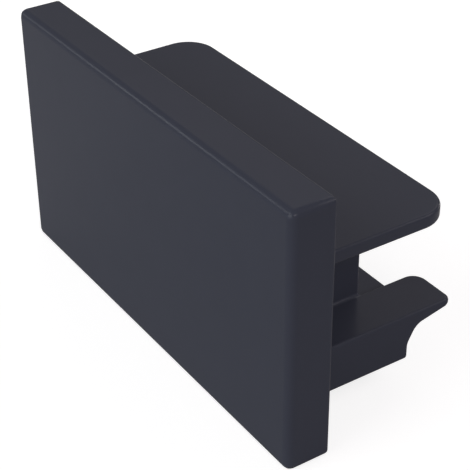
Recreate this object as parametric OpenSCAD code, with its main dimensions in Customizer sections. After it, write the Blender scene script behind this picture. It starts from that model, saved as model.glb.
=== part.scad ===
// End cap for a surface track: a face plate that closes the end of the track,
// with a tongue, a web and a two-pronged foot moulded on its back to plug into it.
// Seat plane of the plate at y = 0, insert towards +y, width along x, up is +z.

/* [Face plate] */
// Width of the face plate, the same as the track
plate_w = 35; // [33:0.5:38]
// Height of the face plate
plate_h = 19.7; // [18:0.1:24]
// Thickness of the face plate
plate_t = 3.4; // [2.6:0.1:5]
// Round along the four edges of the front face
front_r = 0.6; // [0.3:0.05:1]
// Round along the four edges of the back face
back_r = 0.3; // [0.1:0.05:0.6]
// Round of the plate's four corners, seen from the front
corner_r = 0.5; // [0.1:0.05:0.8]

/* [Tongue] */
// Width of the tongue
tongue_w = 31.3; // [28:0.1:32]
// Reach of the tongue past the seat plane
tongue_l = 11.05; // [9.5:0.05:14]
// Thickness of the tongue
tongue_t = 1.05; // [0.8:0.05:1.6]
// Height of the tongue's underside above the plate's lower edge
tongue_z = 13.4; // [12:0.1:15]
// Radius of the tongue's two free corners, seen from above
tongue_corner_r = 2.4; // [1:0.1:4]

/* [Web] */
// Width of the web, which is also the clear gap between the prongs
web_w = 20; // [17:0.1:22]
// Reach of the web past the seat plane
web_l = 8; // [6.5:0.1:9]

/* [Foot] */
// Width of the foot over its two prongs
foot_w = 27.8; // [26:0.1:30]
// Height of the foot's underside above the plate's lower edge
foot_z = 1.55; // [0.8:0.05:2.2]
// Height of the foot
foot_h = 3.75; // [3.3:0.05:4.5]
// Reach of the foot's underside past the seat plane
foot_l = 9.45; // [8.8:0.05:10]
// Height of the upright heel at the back of the foot
heel_h = 1.25; // [0.9:0.05:1.6]
// Lean of the undercut above the heel, from upright
undercut_angle = 28; // [20:1:36]
// Blend between the undercut and the underside of the prong
undercut_r = 1.1; // [0.6:0.05:1.4]

/* [Prongs] */
// Reach of the prongs past the seat plane
prong_l = 13.15; // [12.5:0.05:15]
// Thickness of a prong at its tip
prong_tip_t = 0.55; // [0.45:0.05:0.9]
// Rise of a prong's underside towards its tip
prong_angle = 12; // [8:1:15]
// Radius of a prong's outer tip corner, seen from above
prong_outer_r = 0.6; // [0.3:0.05:1.2]
// Radius of a prong's inner tip corner, seen from above
prong_inner_r = 1.1; // [0.3:0.05:1.3]
// Depth of the floor between the prongs below their tops
floor_drop = 0.5; // [0.3:0.05:0.8]
// Reach of that floor past the seat plane
floor_l = 10.75; // [10.4:0.05:11.5]

/* [Rounds] */
// Round along every other edge, inside and outside
edge_r = 0.25; // [0.1:0.05:0.3]

/* [Hidden] */
$fn = 96;
// How far the insert is rooted in the plate
root = plate_t / 2;
// Margin that carries a cut or a profile clear past a face
past = 1;
foot_top = foot_z + foot_h;
floor_z = foot_top - floor_drop;
// The round at a prong's tip leaves some flat on the tip
tip_r = min(edge_r, 0.45 * prong_tip_t);

// Direction at the angle a
function along(a) = [cos(a), sin(a)];
// Where the line through p at the angle a meets the line through q at the angle b
function meet(p, a, q, b) = p + along(a) * cross(q - p, along(b)) / cross(along(a), along(b));

// Corners of the foot's side profile, as [y, z]
heel = [foot_l, foot_z + heel_h];
tip = [prong_l, foot_top - prong_tip_t];
lean = 90 - undercut_angle;
knee = meet(heel, lean, tip, prong_angle);

// Sliver between a corner at p and the arc of radius r that touches both its edges,
// which leave p at the angles a and b. Taken away, it rounds an outside corner.
// Added, it fills an inside one. Its point stands back from p, so that it overlaps
// what it cuts or joins.
module sliver(p, a, b, r) {
    half = abs(a - b) / 2;
    reach = r / tan(half);
    inward = along((a + b) / 2);
    c = p + inward * r / sin(half);
    difference() {
        polygon([p - inward * r / 2, p + reach * along(a), c, p + reach * along(b)]);
        translate(c)
            circle(r);
    }
}

// Rectangle from [x0, y0] to [x1, y1], with the radius low_r at its two lower corners
// and high_r at its two upper ones. A radius of 0 leaves the corner square.
module rounded_rect(x0, y0, x1, y1, low_r, high_r) {
    difference() {
        translate([x0, y0])
            square([x1 - x0, y1 - y0]);
        if (low_r > 0) {
            sliver([x0, y0], 0, 90, low_r);
            sliver([x1, y0], 90, 180, low_r);
        }
        if (high_r > 0) {
            sliver([x1, y1], 180, 270, high_r);
            sliver([x0, y1], 270, 360, high_r);
        }
    }
}

// Extrusions that keep their profile's own axes: side profiles are drawn as [y, z]
// and run along x, front profiles as [x, z] and run along y from y0 to y1.
module along_x(w) {
    translate([-w / 2, 0, 0])
        rotate([90, 0, 90])
            linear_extrude(w)
                children();
}

module along_y(y0, y1) {
    translate([0, y1, 0])
        rotate([90, 0, 0])
            linear_extrude(y1 - y0)
                children();
}

// The plate is what three rounded outlines share, so all its edges are rounded.
module face_plate() {
    intersection() {
        along_y(-plate_t, 0)
            rounded_rect(-plate_w / 2, 0, plate_w / 2, plate_h, corner_r, corner_r);
        linear_extrude(plate_h)
            rounded_rect(-plate_w / 2, -plate_t, plate_w / 2, 0, front_r, back_r);
        along_x(plate_w)
            rotate(-90)
                rounded_rect(-plate_h, -plate_t, 0, 0, front_r, back_r);
    }
}

// Quarter-round corners of the tongue are turned, its straight edges extruded.
module tongue() {
    half = tongue_w / 2 - tongue_corner_r;
    straight = tongue_l - tongue_corner_r;
    translate([0, 0, tongue_z]) {
        along_y(-root, straight)
            rounded_rect(-tongue_w / 2, 0, tongue_w / 2, tongue_t, edge_r, edge_r);
        along_x(2 * half)
            tongue_edge(-root, tongue_l);
        for (side = [-1, 1])
            translate([side * half, straight, 0])
                rotate_extrude()
                    tongue_edge(0, tongue_corner_r);
    }
}

// Half section through the tongue's free edge, square at u0 and rounded at u1
module tongue_edge(u0, u1) {
    difference() {
        translate([u0, 0])
            square([u1 - u0, tongue_t]);
        sliver([u1, 0], 90, 180, edge_r);
        sliver([u1, tongue_t], 180, 270, edge_r);
    }
}

// The web stands between foot and tongue, with its roots filled at both.
module web() {
    low = floor_z - past / 2;
    translate([0, 0, low])
        linear_extrude(tongue_z + tongue_t / 2 - low)
            rounded_rect(-web_w / 2, -root, web_w / 2, web_l, 0, edge_r);
    along_y(-root, web_l - edge_r)
        for (side = [0, 1])
            mirror([side, 0]) {
                sliver([web_w / 2, foot_top], 0, 90, edge_r);
                sliver([web_w / 2, tongue_z], 270, 360, edge_r);
            }
}

// The foot is what its side profile, its plan and its end section share, less the
// round along the floor's edge.
module foot() {
    difference() {
        intersection() {
            along_x(foot_w)
                foot_side();
            linear_extrude(plate_h)
                foot_plan();
            along_y(-root, prong_l)
                foot_section();
        }
        along_x(web_w)
            sliver([floor_l, floor_z], 180, 270, edge_r);
    }
}

// Side profile: a bar with the undercut taken out below the prong
module foot_side() {
    difference() {
        translate([-root, foot_z])
            square([root + prong_l, foot_h]);
        undercut();
        sliver([foot_l, foot_z], 90, 180, edge_r);
        sliver(tip, 90, 180 + prong_angle, tip_r);
        sliver([prong_l, foot_top], 180, 270, tip_r);
    }
}

// Space behind the heel and under the prong: it rises upright, leans back at the
// heel's top and turns outwards at the knee, along the underside of the prong.
module undercut() {
    difference() {
        polygon([[foot_l, foot_z - past], heel, knee, tip + past * along(prong_angle),
            [prong_l + past, foot_z - past]]);
        sliver(heel, -90, lean, undercut_r);
        sliver(knee, lean - 180, prong_angle, undercut_r);
    }
}

// Plan: two prongs with rounded tips and the floor's edge between them
module foot_plan() {
    difference() {
        translate([-foot_w / 2, -root])
            square([foot_w, root + prong_l]);
        translate([-web_w / 2, floor_l])
            square([web_w, prong_l - floor_l + past]);
        for (side = [0, 1])
            mirror([side, 0]) {
                sliver([web_w / 2, prong_l], 270, 360, prong_inner_r);
                sliver([foot_w / 2, prong_l], 180, 270, prong_outer_r);
            }
    }
}

// End section: rounded outside edges, and the floor let in between the rails
module foot_section() {
    difference() {
        rounded_rect(-foot_w / 2, foot_z, foot_w / 2, foot_top, edge_r, edge_r);
        translate([-web_w / 2, floor_z])
            square([web_w, floor_drop + past]);
        for (side = [0, 1])
            mirror([side, 0])
                sliver([web_w / 2, foot_top], 270, 360, edge_r);
    }
}

// One moulding, lowered so that the origin is the centre of the seat plane
module end_cap() {
    color("#3f424b")
        translate([0, 0, -plate_h / 2])
            union() {
                face_plate();
                tongue();
                web();
                foot();
            }
}

end_cap();
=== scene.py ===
"""Looks for a moulded track end cap: a face plate, and on its back a tongue, a web
and a two-pronged foot. The whole cap is one piece of satin anthracite plastic."""

import math

import bmesh
import bpy
from mathutils import Matrix, Vector


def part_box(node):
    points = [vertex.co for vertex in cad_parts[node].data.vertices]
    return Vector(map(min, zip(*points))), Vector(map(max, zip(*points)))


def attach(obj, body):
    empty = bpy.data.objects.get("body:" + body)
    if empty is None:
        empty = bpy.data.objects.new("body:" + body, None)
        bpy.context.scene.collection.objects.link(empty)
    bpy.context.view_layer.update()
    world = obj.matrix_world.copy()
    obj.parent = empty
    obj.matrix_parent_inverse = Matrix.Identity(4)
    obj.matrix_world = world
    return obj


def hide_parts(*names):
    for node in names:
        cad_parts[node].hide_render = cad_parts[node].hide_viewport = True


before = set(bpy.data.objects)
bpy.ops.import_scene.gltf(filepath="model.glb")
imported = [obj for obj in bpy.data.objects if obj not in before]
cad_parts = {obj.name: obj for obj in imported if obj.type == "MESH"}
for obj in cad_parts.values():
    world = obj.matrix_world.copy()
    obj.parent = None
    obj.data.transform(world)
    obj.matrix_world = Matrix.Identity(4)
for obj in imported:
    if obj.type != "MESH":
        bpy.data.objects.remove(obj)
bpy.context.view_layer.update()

MM = 0.001
NODE = "end_cap"

# The plate's outline and the prongs' reach come from the frame. Its origin is the
# centre of the seat plane, which is the plate's back.
low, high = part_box(NODE)
PLATE_W = high.x - low.x
PLATE_T = -low.y
PLATE_TOP = high.z
PLATE_LOW = low.z
PRONG_L = high.y

# Heights are above the plate's lower edge, reaches are past the seat plane.
TONGUE_W = 31.3 * MM
TONGUE_L = 11.05 * MM
TONGUE_T = 1.05 * MM
TONGUE_Z = 13.4 * MM
TONGUE_CORNER_R = 2.4 * MM
WEB_W = 20 * MM
WEB_L = 8 * MM
FOOT_W = 27.8 * MM
FOOT_Z = 1.55 * MM
FOOT_H = 3.75 * MM
FOOT_L = 9.45 * MM
HEEL_H = 1.25 * MM
UNDERCUT_ANGLE = math.radians(28)
UNDERCUT_R = 1.1 * MM
PRONG_TIP_T = 0.55 * MM
PRONG_ANGLE = math.radians(12)
PRONG_OUTER_R = 0.6 * MM
PRONG_INNER_R = 1.1 * MM
FLOOR_DROP = 0.5 * MM
FLOOR_L = 10.75 * MM

# Rounds of the plate's front edges, of its four corners and of its back edges, of
# every other edge, and the small break along the lower edge of the floor's end
FRONT_R = 0.6 * MM
CORNER_R = 0.5 * MM
BACK_R = 0.3 * MM
EDGE_R = 0.25 * MM
BREAK_R = 0.06 * MM

# Facets across a round, and the turn from one point of a drawn arc to the next
ROUND_SEGMENTS = 8
ARC_STEP = math.radians(4)
ARC_STEPS_MIN = 2
# Faces that meet at less than these belong to one drawn arc, and to one flat face
ARC_JOINT = 1.5 * ARC_STEP
FLAT_JOINT = math.radians(0.5)
# Facets that meet at more than this keep a sharp edge between them in the shading
SHARP_ANGLE = math.radians(50)
# Places closer than this are the same, and points closer than the gap are welded
SAME = 0.002 * MM
WELD_GAP = SAME / 10

# How far a part of the insert is rooted in the plate, and how far what cuts it
# reaches past its faces
ROOT = 1 * MM
PAST = 2 * MM

# The plastic: its colour where the pigment lies thin and thick, its gloss where the
# mould was smooth and rough, and for each the size and the detail of its patches
PIGMENT_THIN = (0.0432, 0.0468, 0.0656, 1)
PIGMENT_THICK = (0.0406, 0.0440, 0.0616, 1)
PIGMENT_PATCH = 2.5 * MM
PIGMENT_DETAIL = 3
ROUGHNESS_LOW = 0.22
ROUGHNESS_HIGH = 0.26
GLOSS_PATCH = 6 * MM
GLOSS_DETAIL = 2
PLASTIC_IOR = 1.45
PLASTIC_SPECULAR = 0.15
# Spark-eroded grain of the mould: its width, its depth and its detail
GRAIN_WIDTH = 0.08 * MM
GRAIN_DEPTH = 0.002 * MM
GRAIN_DETAIL = 1

# The photograph's viewpoint, worked out from the cap's straight edges: the focal
# length and the width in pixels, the camera's place, and the ways it faces
FOCAL_PX = 1406.18
FRAME_PX = 470
EYE_PLACE = (0.072291, -0.043330, 0.052141)
EYE_AHEAD = (-0.7022, 0.4623, -0.5414)
EYE_RIGHT = (0.5533, 0.8329, -0.0065)
# The sensor's width in millimetres, and the distance from which the camera sees
SENSOR = 36
NEAREST = 1 * MM

WHITE = (1, 1, 1, 1)
# Two hardly tinted whites of the lamps
COOL = (0.97, 1, 1)
WARM = (1, 0.93, 0.94)

# Soft square lamps around the cap: azimuth (0 is in front of the plate, 90 off its
# right end), elevation, power in watts, width, and colour
LAMPS = {
    "front": (0, 12, 18.9, 1.4, COOL),
    "front_left_low": (306, 21, 1.9, 0.4, COOL),
    "front_left_high": (330, 38, 6.3, 0.8, COOL),
    "right": (70, 34, 12.6, 0.8, WARM),
    "behind_right": (150, 38, 6.2, 0.8, WARM),
    "behind_left": (210, 38, 2.3, 0.8, WARM),
    "left": (240, 38, 0.9, 0.8, WARM),
    "rim": (190, 4, 2.5, 0.3, WARM),
}
LAMP_DISTANCE = 2
SKY_STRENGTH = 0.195

# The floor, and how much it is lifted to white for the camera alone
FLOOR_RADIUS = 1.5
FLOOR_SEGMENTS = 96
FLOOR_COLOUR = (0.5, 0.5, 0.5, 1)
FLOOR_ROUGHNESS = 0.9
FLOOR_LIFT = 0.74


def height(z):
    """Height above the plate's lower edge, as a place in the frame."""
    return PLATE_LOW + z


FOOT_LOW = height(FOOT_Z)
FOOT_TOP = height(FOOT_Z + FOOT_H)
FLOOR_TOP = FOOT_TOP - FLOOR_DROP
TONGUE_LOW = height(TONGUE_Z)
TONGUE_TOP = height(TONGUE_Z + TONGUE_T)


def add_object(name, data):
    """New object in the scene."""
    thing = bpy.data.objects.new(name, data)
    bpy.context.scene.collection.objects.link(thing)
    return thing


def finished_mesh(bm, name):
    """New mesh of what bm holds. It frees bm."""
    mesh = bpy.data.meshes.new(name)
    bm.to_mesh(mesh)
    bm.free()
    return mesh


def vertex(u, v, r=0):
    """Corner of an outline, with the radius of its arc, or 0 for a sharp one."""
    return (Vector((u, v)), r)


def rounded(corners):
    """Outline through corners, with an arc at each that has a radius."""
    outline = []
    for i, (p, r) in enumerate(corners):
        if r == 0:
            outline.append(p)
            continue
        before = (corners[i - 1][0] - p).normalized()
        after = (corners[(i + 1) % len(corners)][0] - p).normalized()
        half = before.angle(after) / 2
        centre = p + (before + after).normalized() * r / math.sin(half)
        start = p + before * r / math.tan(half) - centre
        end = p + after * r / math.tan(half) - centre
        sweep = start.angle_signed(end)
        steps = max(ARC_STEPS_MIN, round(abs(sweep) / ARC_STEP))
        for k in range(steps + 1):
            outline.append(centre + Matrix.Rotation(-sweep * k / steps, 2) @ start)
    return outline


def rectangle(x0, y0, x1, y1, far_r=0):
    """Outline of a rectangle, with a radius for its two corners at y1."""
    return rounded([
        vertex(x0, y0),
        vertex(x1, y0),
        vertex(x1, y1, far_r),
        vertex(x0, y1, far_r),
    ])


def meet(p, a, q, b):
    """Where the line through p at the angle a meets the line through q at the angle b."""
    along_a = Vector((math.cos(a), math.sin(a)))
    along_b = Vector((math.cos(b), math.sin(b)))
    step = (q - p).cross(along_b) / along_a.cross(along_b)
    return p + along_a * step


# Each turns the point (u, v) of an outline, at the depth w, into a place in the frame.
def from_front(u, v, w):
    return (u, w, v)


def from_side(u, v, w):
    return (w, u, v)


def from_above(u, v, w):
    return (u, v, w)


def prism(outline, place, start, end):
    """Closed solid over an outline, from the depth start to the depth end."""
    bm = bmesh.new()
    rings = [[bm.verts.new(place(p.x, p.y, w)) for p in outline] for w in (start, end)]
    bm.faces.new(rings[0])
    bm.faces.new(rings[1])
    for i in range(len(outline)):
        bm.faces.new((rings[0][i - 1], rings[0][i], rings[1][i], rings[1][i - 1]))
    bmesh.ops.recalc_face_normals(bm, faces=bm.faces)
    return add_object("prism", finished_mesh(bm, "prism"))


def apply_modifiers(solid):
    """Makes the modifiers' result the object's own mesh."""
    graph = bpy.context.evaluated_depsgraph_get()
    mesh = bpy.data.meshes.new_from_object(solid.evaluated_get(graph))
    solid.modifiers.clear()
    solid.data = mesh


def combine(solid, other, operation):
    """Joins other to solid, cuts it from it, or keeps what they share."""
    step = solid.modifiers.new(operation, "BOOLEAN")
    step.operation = operation
    step.solver = "EXACT"
    step.object = other
    apply_modifiers(solid)
    bpy.data.objects.remove(other)
    return solid


def plate():
    outline = rectangle(-PLATE_W / 2, PLATE_LOW, PLATE_W / 2, PLATE_TOP)
    return prism(outline, from_front, -PLATE_T, 0)


def tongue():
    outline = rectangle(-TONGUE_W / 2, -ROOT, TONGUE_W / 2, TONGUE_L, TONGUE_CORNER_R)
    return prism(outline, from_above, TONGUE_LOW, TONGUE_TOP)


def web():
    """Upright block, rooted half way into the foot and the tongue."""
    outline = rectangle(-WEB_W / 2, -ROOT, WEB_W / 2, WEB_L)
    return prism(outline, from_above, FOOT_LOW + FOOT_H / 2, TONGUE_LOW + TONGUE_T / 2)


def foot_profile():
    """Side profile: heel, leaning undercut, and the underside of the prong."""
    heel = Vector((FOOT_L, FOOT_LOW + HEEL_H))
    tip = Vector((PRONG_L, FOOT_TOP - PRONG_TIP_T))
    lean = math.pi / 2 - UNDERCUT_ANGLE
    knee = meet(heel, lean, tip, PRONG_ANGLE)
    return rounded([
        vertex(-ROOT, FOOT_LOW),
        vertex(FOOT_L, FOOT_LOW),
        (heel, UNDERCUT_R),
        (knee, UNDERCUT_R),
        (tip, 0),
        vertex(PRONG_L, FOOT_TOP),
        vertex(-ROOT, FOOT_TOP),
    ])


def foot_plan():
    """Plan: two prongs with rounded tips, and the floor's edge between them."""
    right = [
        vertex(FOOT_W / 2, -ROOT),
        vertex(FOOT_W / 2, PRONG_L, PRONG_OUTER_R),
        vertex(WEB_W / 2, PRONG_L, PRONG_INNER_R),
        vertex(WEB_W / 2, FLOOR_L),
    ]
    left = [vertex(-p.x, p.y, r) for p, r in reversed(right)]
    return rounded(right + left)


def foot():
    """What the side profile and the plan share, with the floor let in between the prongs."""
    body = prism(foot_profile(), from_side, -FOOT_W / 2 - PAST, FOOT_W / 2 + PAST)
    plan = prism(foot_plan(), from_above, FOOT_LOW - PAST, FOOT_TOP + PAST)
    combine(body, plan, "INTERSECT")
    recess = rectangle(-WEB_W / 2, WEB_L - ROOT, WEB_W / 2, FLOOR_L + PAST)
    return combine(body, prism(recess, from_above, FLOOR_TOP, FOOT_TOP + PAST), "DIFFERENCE")


def on_plate_outline(p):
    """Whether a point of the plate lies on its outline, seen from the front."""
    return (
        abs(abs(p.x) - PLATE_W / 2) < SAME
        or abs(p.z - PLATE_LOW) < SAME
        or abs(p.z - PLATE_TOP) < SAME
    )


def below_floor_end(p):
    """Whether a point lies on the face that ends the floor, but below the floor."""
    return abs(p.y - FLOOR_L) < SAME and p.z < FLOOR_TOP - SAME


def edge_round(edge):
    """Radius that an edge of the sharp solid gets, 0 for one that stays as it is."""
    if edge.calc_face_angle() < ARC_JOINT:
        return 0
    a, b = (v.co for v in edge.verts)
    on_plate = max(a.y, b.y) < SAME
    if on_plate and abs(a.y - b.y) > SAME:
        return CORNER_R
    if on_plate and a.y < -SAME:
        return FRONT_R
    if on_plate:
        return BACK_R if on_plate_outline(a) and on_plate_outline(b) else 0
    if below_floor_end(a) and below_floor_end(b):
        return BREAK_R
    return EDGE_R


def mark_rounds(mesh):
    """Cleans the joined solid and weights each edge by its radius."""
    bm = bmesh.new()
    bm.from_mesh(mesh)
    bmesh.ops.remove_doubles(bm, verts=bm.verts, dist=SAME)
    bmesh.ops.dissolve_limit(bm, angle_limit=FLAT_JOINT, verts=bm.verts, edges=bm.edges)
    weight = bm.edges.layers.float.new("bevel_weight_edge")
    for edge in bm.edges:
        edge[weight] = edge_round(edge) / FRONT_R
    for face in bm.faces:
        face.smooth = True
    bm.to_mesh(mesh)
    bm.free()


def round_edges(solid):
    """Rounds the weighted edges, then lets the large flat faces set the normals."""
    rounds = solid.modifiers.new("rounds", "BEVEL")
    rounds.limit_method = "WEIGHT"
    rounds.width = FRONT_R
    rounds.segments = ROUND_SEGMENTS
    rounds.use_clamp_overlap = False
    rounds.loop_slide = False
    welded = solid.modifiers.new("welded", "WELD")
    welded.merge_threshold = WELD_GAP
    apply_modifiers(solid)
    solid.data.set_sharp_from_angle(angle=SHARP_ANGLE)
    normals = solid.modifiers.new("normals", "WEIGHTED_NORMAL")
    normals.mode = "FACE_AREA"
    normals.keep_sharp = True
    apply_modifiers(solid)


def end_cap():
    """The whole moulding, first joined with sharp edges and then rounded."""
    moulding = plate()
    for part in (tongue(), web(), foot()):
        combine(moulding, part, "UNION")
    mark_rounds(moulding.data)
    round_edges(moulding)
    moulding.name = "end_cap_moulding"
    moulding.data.name = moulding.name
    return moulding


def patches(tree, size, detail):
    """Noise whose patches are about size across, fixed to the moulding."""
    place = tree.nodes.new("ShaderNodeTexCoord")
    noise = tree.nodes.new("ShaderNodeTexNoise")
    noise.inputs["Scale"].default_value = 1 / size
    noise.inputs["Detail"].default_value = detail
    tree.links.new(place.outputs["Object"], noise.inputs["Vector"])
    return noise.outputs["Fac"]


def anthracite_plastic():
    """Satin moulded plastic: a fine spark-eroded grain, and slight drifts in pigment
    and gloss."""
    material = bpy.data.materials.new("anthracite_plastic")
    material.use_nodes = True
    tree = material.node_tree
    shader = tree.nodes["Principled BSDF"]
    shader.inputs["IOR"].default_value = PLASTIC_IOR
    shader.inputs["Specular IOR Level"].default_value = PLASTIC_SPECULAR
    pigment = tree.nodes.new("ShaderNodeMix")
    pigment.data_type = "RGBA"
    pigment.inputs["A"].default_value = PIGMENT_THIN
    pigment.inputs["B"].default_value = PIGMENT_THICK
    mottle = patches(tree, PIGMENT_PATCH, PIGMENT_DETAIL)
    tree.links.new(mottle, pigment.inputs["Factor"])
    tree.links.new(pigment.outputs["Result"], shader.inputs["Base Color"])
    gloss = tree.nodes.new("ShaderNodeMapRange")
    gloss.inputs["To Min"].default_value = ROUGHNESS_LOW
    gloss.inputs["To Max"].default_value = ROUGHNESS_HIGH
    polish = patches(tree, GLOSS_PATCH, GLOSS_DETAIL)
    tree.links.new(polish, gloss.inputs["Value"])
    tree.links.new(gloss.outputs["Result"], shader.inputs["Roughness"])
    grain = tree.nodes.new("ShaderNodeBump")
    grain.inputs["Distance"].default_value = GRAIN_DEPTH
    pits = patches(tree, GRAIN_WIDTH, GRAIN_DETAIL)
    tree.links.new(pits, grain.inputs["Height"])
    tree.links.new(grain.outputs["Normal"], shader.inputs["Normal"])
    return material


def camera():
    """Camera at the photograph's viewpoint."""
    data = bpy.data.cameras.new("camera")
    data.sensor_width = SENSOR
    data.lens = SENSOR * FOCAL_PX / FRAME_PX
    data.clip_start = NEAREST
    ahead = Vector(EYE_AHEAD).normalized()
    right = Vector(EYE_RIGHT)
    right = (right - ahead * right.dot(ahead)).normalized()
    up = right.cross(ahead)
    turn = Matrix((right, up, -ahead)).transposed().to_4x4()
    eye = add_object("camera", data)
    eye.matrix_world = Matrix.Translation(EYE_PLACE) @ turn
    bpy.context.scene.camera = eye


def sky():
    """A dim even sky, which the camera alone sees as white."""
    world = bpy.data.worlds.new("sky")
    bpy.context.scene.world = world
    world.use_nodes = True
    nodes = world.node_tree.nodes
    links = world.node_tree.links
    dim = nodes["Background"]
    dim.inputs["Color"].default_value = WHITE
    dim.inputs["Strength"].default_value = SKY_STRENGTH
    white = nodes.new("ShaderNodeBackground")
    white.inputs["Color"].default_value = WHITE
    seen = nodes.new("ShaderNodeLightPath")
    mix = nodes.new("ShaderNodeMixShader")
    links.new(seen.outputs["Is Camera Ray"], mix.inputs["Fac"])
    links.new(dim.outputs["Background"], mix.inputs[1])
    links.new(white.outputs["Background"], mix.inputs[2])
    links.new(mix.outputs["Shader"], nodes["World Output"].inputs["Surface"])


def lamp(name, azimuth, elevation, power, width, colour):
    """Soft square lamp that faces the cap."""
    data = bpy.data.lights.new(name, "AREA")
    data.shape = "SQUARE"
    data.size = width
    data.energy = power
    data.color = colour
    turn = math.radians(azimuth)
    rise = math.radians(elevation)
    back = Vector((
        math.sin(turn) * math.cos(rise),
        -math.cos(turn) * math.cos(rise),
        math.sin(rise),
    ))
    source = add_object(name, data)
    source.location = back * LAMP_DISTANCE
    source.rotation_mode = "QUATERNION"
    source.rotation_quaternion = back.to_track_quat("Z", "Y")


def floor_paint():
    """Pale matt paint, lifted to white for the camera so that the shadow stays."""
    material = bpy.data.materials.new("floor")
    material.use_nodes = True
    nodes = material.node_tree.nodes
    links = material.node_tree.links
    paint = nodes["Principled BSDF"]
    paint.inputs["Base Color"].default_value = FLOOR_COLOUR
    paint.inputs["Roughness"].default_value = FLOOR_ROUGHNESS
    seen = nodes.new("ShaderNodeLightPath")
    lift = nodes.new("ShaderNodeMath")
    lift.operation = "MULTIPLY"
    lift.inputs[1].default_value = FLOOR_LIFT
    glow = nodes.new("ShaderNodeEmission")
    both = nodes.new("ShaderNodeAddShader")
    links.new(seen.outputs["Is Camera Ray"], lift.inputs[0])
    links.new(lift.outputs["Value"], glow.inputs["Strength"])
    links.new(paint.outputs["BSDF"], both.inputs[0])
    links.new(glow.outputs["Emission"], both.inputs[1])
    links.new(both.outputs["Shader"], nodes["Material Output"].inputs["Surface"])
    return material


def floor():
    """Pale floor level with the plate's lower edge."""
    bm = bmesh.new()
    bmesh.ops.create_circle(bm, cap_ends=True, segments=FLOOR_SEGMENTS, radius=FLOOR_RADIUS)
    ground = add_object("floor", finished_mesh(bm, "floor"))
    ground.data.materials.append(floor_paint())
    ground.location.z = PLATE_LOW


cap = end_cap()
cap.data.materials.append(anthracite_plastic())
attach(cap, "root")
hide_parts(NODE)
camera()
sky()
for name, settings in LAMPS.items():
    lamp(name, *settings)
floor()
bpy.context.scene.view_settings.view_transform = "Standard"
